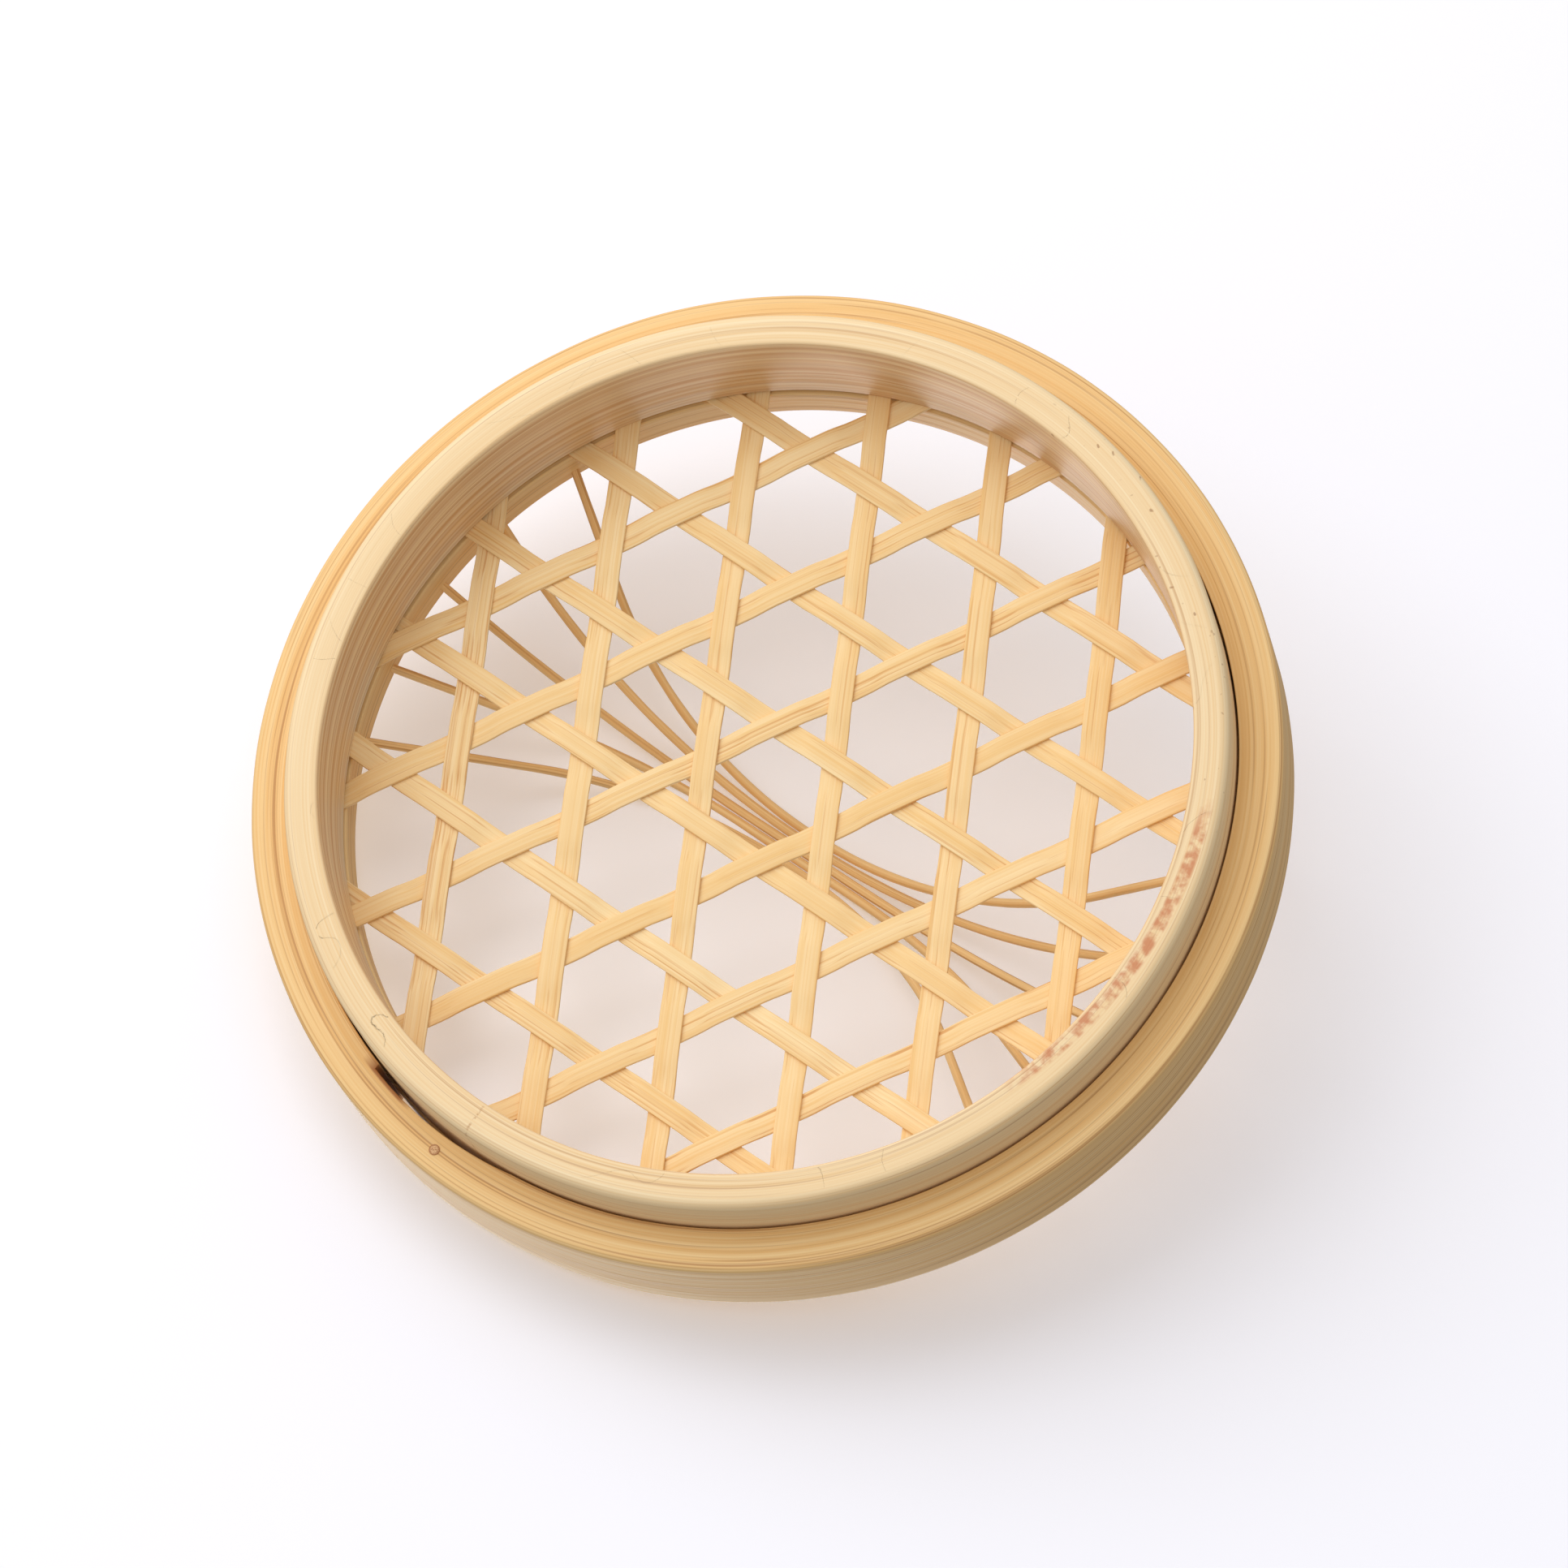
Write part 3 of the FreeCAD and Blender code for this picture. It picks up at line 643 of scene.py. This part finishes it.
def weave_strip(family, number):
    """Models one strip lying along X, then turns it into its family's direction."""
    name = f"strip_{family}_{number + 1}"
    count = number - (STRIPS_PER_FAMILY - 1) / 2
    direction = math.radians(FAMILIES[family] - 90)
    sideways = Vector((-math.sin(direction), math.cos(direction), 0))
    forwards = Vector((math.cos(direction), math.sin(direction), 0))
    offset = count * PITCH + SHIFT.dot(sideways)
    half = math.sqrt((SEAT_RADIUS - STRIP_END_GAP) ** 2 - (abs(offset) + STRIP_WIDTH / 2) ** 2)
    start = -half - SHIFT.dot(forwards)
    stations = int(2 * half / STATION)
    wander = random.Random(name)
    swing, phase = wander.uniform(0.1, 0.35) * MM, wander.uniform(0, 6)

    def centre(step):
        along = start + 2 * half * step / stations
        aside = swing * math.sin(phase + 5 * step / stations)
        return Vector((along, aside, weave_height(along, count)))

    start_clean()
    bpy.ops.mesh.primitive_plane_add(size=1, rotation=(0, math.pi / 2, 0), location=centre(0))
    strip = bpy.context.object
    strip.scale = (STRIP_THICKNESS, STRIP_WIDTH * wander.uniform(0.96, 1.03), 1)
    bpy.ops.object.transform_apply(location=True, rotation=True, scale=True)
    bpy.ops.object.mode_set(mode="EDIT")
    bpy.ops.mesh.select_all(action="SELECT")
    bpy.ops.mesh.bevel(offset=0.2 * MM, segments=3, affect="VERTICES")
    bpy.ops.mesh.select_all(action="SELECT")
    for step in range(stations):
        move = centre(step + 1) - centre(step)
        bpy.ops.mesh.extrude_region_move(TRANSFORM_OT_translate={"value": move})
    close_up(strip)
    by_hand(strip, 0.10 * MM, 0.004)
    strip.rotation_euler.z = direction
    strip.location = sideways * count * PITCH + SHIFT + Vector((0, 0, LATTICE_LEVEL))
    finish_piece(strip, name, strip_bamboo[family])
    return strip


strips = [weave_strip(family, number) for family in FAMILIES for number in range(STRIPS_PER_FAMILY)]
print("strips:", len(strips), "with", sum(len(s.data.polygons) for s in strips), "faces")

# %% [markdown]
# ## The grip
# Five rods are bent over together: straight or nearly so in the middle, a long round bend, and a
# straight end that goes into the clamping hoop. Each lies in its own tilted plane. From a ring of
# points we extrude the straight middle, spin the bend, extrude the end, and mirror the half. The
# slope of the end follows from the rise and the two lengths that it has to bridge.

# %% One rod
ROD_RADIUS = 0.8 * MM
ROD_SPACING = 1.75 * MM
HOLE_DEPTH = 4.0 * MM
GRIP_TOP = LID_TOP + 20.8 * MM
RISE = 22.5 * MM
RODS = {
    "rod_1": (23.8, 1.0, 21.0),
    "rod_2": (11.6, 1.0, 4.0),
    "rod_3": (0.0, 12.0, 2.0),
    "rod_4": (-13.3, 12.0, 28.0),
    "rod_5": (-24.2, 1.0, 30.0),
}


def straighten(place, middle, radius, slope):
    """Where a point of the bent rod was before bending: distance along, then the two across."""
    side = math.copysign(1.0, place.x)
    out = abs(place.x) - middle
    if out <= 0:
        return Vector((place.x, place.y, place.z))
    bent = math.atan2(out, place.z + radius)
    if bent < slope:
        return Vector((side * (middle + radius * bent), place.y, math.hypot(out, place.z + radius) - radius))
    end = Vector((out - radius * math.sin(slope), place.z + radius * (1 - math.cos(slope))))
    along = end.x * math.cos(slope) - end.y * math.sin(slope)
    across = end.x * math.sin(slope) + end.y * math.cos(slope)
    return Vector((side * (middle + radius * slope + along), place.y, across))


def bend_rod(name, place):
    """Models a rod in the XZ plane with its top at the origin, then tilts it into its plane."""
    end_angle, middle, run = RODS[name]
    end_angle, middle, run = math.radians(end_angle), middle * MM, run * MM
    reach, aside = CLAMP_BORE * math.cos(end_angle), CLAMP_BORE * math.sin(end_angle)
    sideways = aside - place * ROD_SPACING
    drop = math.hypot(RISE, sideways)
    slope = 2 * math.atan(drop / (reach - middle + run))
    radius = (reach - middle - run * math.cos(slope)) / math.sin(slope)

    start_clean()
    bpy.ops.mesh.primitive_circle_add(vertices=14, radius=ROD_RADIUS, rotation=(0, math.pi / 2, 0))
    rod = bpy.context.object
    bpy.ops.object.transform_apply(location=True, rotation=True, scale=True)
    bpy.ops.object.mode_set(mode="EDIT")
    bpy.ops.mesh.select_all(action="SELECT")
    for _ in range(6):
        bpy.ops.mesh.extrude_region_move(TRANSFORM_OT_translate={"value": (middle / 6, 0, 0)})
    bpy.ops.mesh.spin(steps=32, angle=slope, center=(middle, 0, -radius), axis=(0, -1, 0))
    run_steps = 4 + int(run / (3 * MM))
    onward = Vector((math.cos(slope), 0, -math.sin(slope))) * (run + HOLE_DEPTH * 0.9) / run_steps
    for _ in range(run_steps):
        bpy.ops.mesh.extrude_region_move(TRANSFORM_OT_translate={"value": onward})
    bpy.ops.mesh.edge_face_add()
    bpy.ops.object.mode_set(mode="OBJECT")
    other_half = rod.modifiers.new("other_half", "MIRROR")
    other_half.merge_threshold = 0.01 * MM
    bpy.ops.object.modifier_apply(modifier=other_half.name)
    close_up(rod)
    stored = rod.data.attributes.new("straight", "FLOAT_VECTOR", "POINT")
    shift = Vector((0.3 * place, 0, 0))
    for number, point in enumerate(rod.data.vertices):
        stored.data[number].vector = straighten(point.co, middle, radius, slope) + shift
    by_hand(rod, 0.12 * MM, 0.006)
    rod.rotation_euler.x = math.atan2(sideways, RISE)
    rod.location = (0, place * ROD_SPACING, GRIP_TOP)
    finish_piece(rod, name, rod_bamboo)
    return rod


rods = [bend_rod(name, 2 - number) for number, name in enumerate(RODS)]
print("rods:", len(rods), "with", sum(len(r.data.polygons) for r in rods), "faces")

# %% [markdown]
# ## Floors
# The lid is shown turned over: it leans on its grip and on one edge of the outer hoop, so the
# table runs across the grip at a slant. Seen from above in use, it stands on its spigot instead.
# Each floor shows only its upper side. From behind it is clear, and it throws neither shadow nor
# light on the lid, so both can stay in the scene. They glow a little, in place of the light that
# white walls would throw into the lid's shadow.

# %% Floors
TABLE_NORMAL = Vector((-0.0405, 0.2332, -0.9716)).normalized()
TABLE_POINT = Vector((11.1 * MM, 9.0 * MM, 51.6 * MM))


def make_floor_material(name, colour, glow):
    material, tree = new_material(name)
    surface = tree.nodes["Principled BSDF"]
    surface.inputs["Base Color"].default_value = colour
    surface.inputs["Roughness"].default_value = 0.85
    surface.inputs["Specular IOR Level"].default_value = 0.1
    surface.inputs["Emission Color"].default_value = colour
    surface.inputs["Emission Strength"].default_value = glow
    clear = tree.nodes.new("ShaderNodeBsdfTransparent")
    side = tree.nodes.new("ShaderNodeNewGeometry")
    either = tree.nodes.new("ShaderNodeMixShader")
    tree.links.new(side.outputs["Backfacing"], either.inputs["Fac"])
    tree.links.new(surface.outputs["BSDF"], either.inputs[1])
    tree.links.new(clear.outputs["BSDF"], either.inputs[2])
    tree.links.new(either.outputs["Shader"], tree.nodes["Material Output"].inputs["Surface"])
    return material


def lay_floor(name, size, place, normal, glow):
    start_clean()
    bpy.ops.mesh.primitive_plane_add(size=size)
    floor = bpy.context.object
    floor.name = name
    floor.rotation_euler = normal.to_track_quat("Z", "Y").to_euler()
    floor.location = place
    floor.data.materials.append(make_floor_material(name, (0.87, 0.87, 0.93, 1), glow))
    floor.visible_shadow = False
    floor.visible_diffuse = False
    floor.visible_glossy = False


lay_floor("table_under_grip", 0.50, TABLE_POINT, TABLE_NORMAL, 0.16)
lay_floor("table_under_spigot", 8.0, Vector((0, 0, inner_low.z)), Vector((0, 0, 1)), 0.32)

# %% [markdown]
# ## Light
# A white room gives most of the light. It is brightest on the side where a large soft lamp models
# the hoops, and dim on the opposite one, so that walls turned away fall into a brown shade. A
# second lamp hangs over the lid's upper side. The camera sees the room as a plain pale backdrop.

# %% Lamps and room
def hang_lamp(name, place, target, size, power):
    start_clean()
    bpy.ops.object.light_add(type="AREA", location=place)
    lamp = bpy.context.object
    lamp.name = name
    lamp.rotation_euler = (place - target).to_track_quat("Z", "Y").to_euler()
    lamp.data.size = size
    lamp.data.energy = power


LAMP_SIDE = (Vector((0.8, 0.0, 0)) + 1.1 * TABLE_NORMAL).normalized()
hang_lamp("window_lamp", LAMP_SIDE * 1.2, Vector((0, 0, 0)), 1.2, 7.0)
hang_lamp("upper_lamp", Vector((0.25, -0.35, 1.3)), Vector((0, 0, 0)), 0.9, 7.5)

room = bpy.data.worlds.new("white_room")
bpy.context.scene.world = room
room.use_nodes = True
room_light = room.node_tree.nodes["Background"]
room_light.inputs["Color"].default_value = (1.0, 0.99, 0.98, 1)
way = room.node_tree.nodes.new("ShaderNodeTexCoord")
towards = room.node_tree.nodes.new("ShaderNodeVectorMath")
towards.operation = "DOT_PRODUCT"
towards.inputs[1].default_value = LAMP_SIDE
room.node_tree.links.new(way.outputs["Generated"], towards.inputs[0])
brightness = spread(room.node_tree, towards.outputs["Value"], -0.15, 0.85, 0.36, 0.88)
room.node_tree.links.new(brightness, room_light.inputs["Strength"])
backdrop = room.node_tree.nodes.new("ShaderNodeBackground")
backdrop.inputs["Color"].default_value = (0.90, 0.91, 0.92, 1)
seen = room.node_tree.nodes.new("ShaderNodeLightPath")
either = room.node_tree.nodes.new("ShaderNodeMixShader")
room.node_tree.links.new(seen.outputs["Is Camera Ray"], either.inputs["Fac"])
room.node_tree.links.new(room_light.outputs["Background"], either.inputs[1])
room.node_tree.links.new(backdrop.outputs["Background"], either.inputs[2])
room.node_tree.links.new(either.outputs["Shader"], room.node_tree.nodes["World Output"].inputs["Surface"])
bpy.context.scene.view_settings.view_transform = "Standard"

# %% [markdown]
# ## Camera
# A long lens from well back keeps the circles nearly round. The camera looks at the lid's spigot
# side from a little off the axis, and it is turned about its own line of sight.

# %% Camera
CAMERA_PLACE = Vector((-427.3, -231.6, -1088.8)) * MM
CAMERA_TARGET = Vector((11.1, 9.0, 51.5)) * MM
CAMERA_ROLL = math.radians(154.07)
start_clean()
bpy.ops.object.camera_add(location=CAMERA_PLACE)
camera = bpy.context.object
camera.data.lens = 160.8
camera.data.sensor_width = 36.0
aim = (CAMERA_TARGET - CAMERA_PLACE).to_track_quat("-Z", "Y").to_matrix().to_4x4()
camera.rotation_euler = (aim @ Matrix.Rotation(CAMERA_ROLL, 4, "Z")).to_euler()
bpy.context.scene.camera = camera
